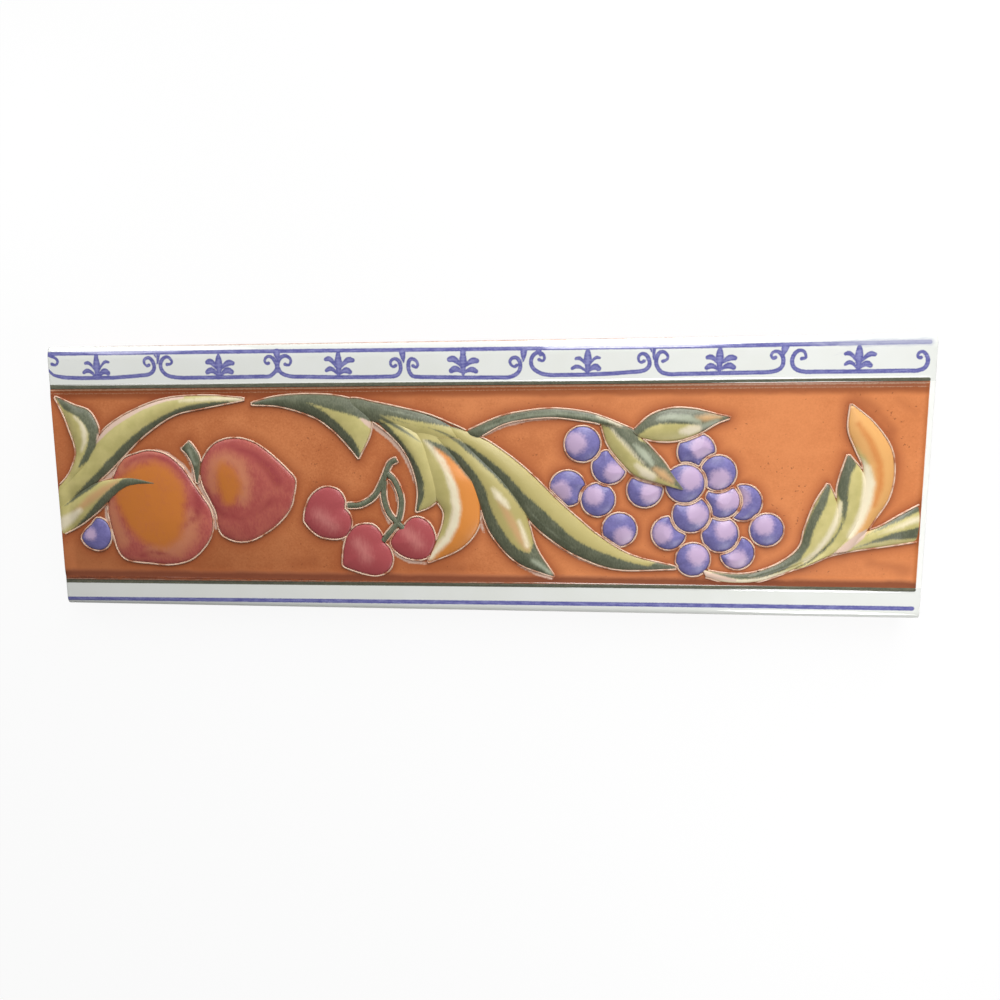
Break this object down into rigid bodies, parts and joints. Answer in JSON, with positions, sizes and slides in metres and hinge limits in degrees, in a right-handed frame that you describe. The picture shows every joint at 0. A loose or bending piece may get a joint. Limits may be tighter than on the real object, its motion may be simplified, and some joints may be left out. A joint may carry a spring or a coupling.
{
  "type": "victorian border tile",
  "caption": "Long glazed relief border tile with a sunk frieze of leaves and fruit between plain white bands, keyed on its back for bedding.",
  "frame": {"origin": "middle of the tile's length and height, in the plane of its back", "axes": "+X along the border, +Y towards the edge with the wide painted band, +Z out of the decorated face"},
  "size_m": [0.2, 0.062, 0.0093],
  "materials": {
    "glazed_body": "glossy lead glaze: white bands with blue and dark green painted lines, terracotta ground, coloured relief; bare red biscuit on the back and sides"
  },
  "bodies": {
    "root": {"border_tile": "glazed_body"}
  },
  "joints": []
}
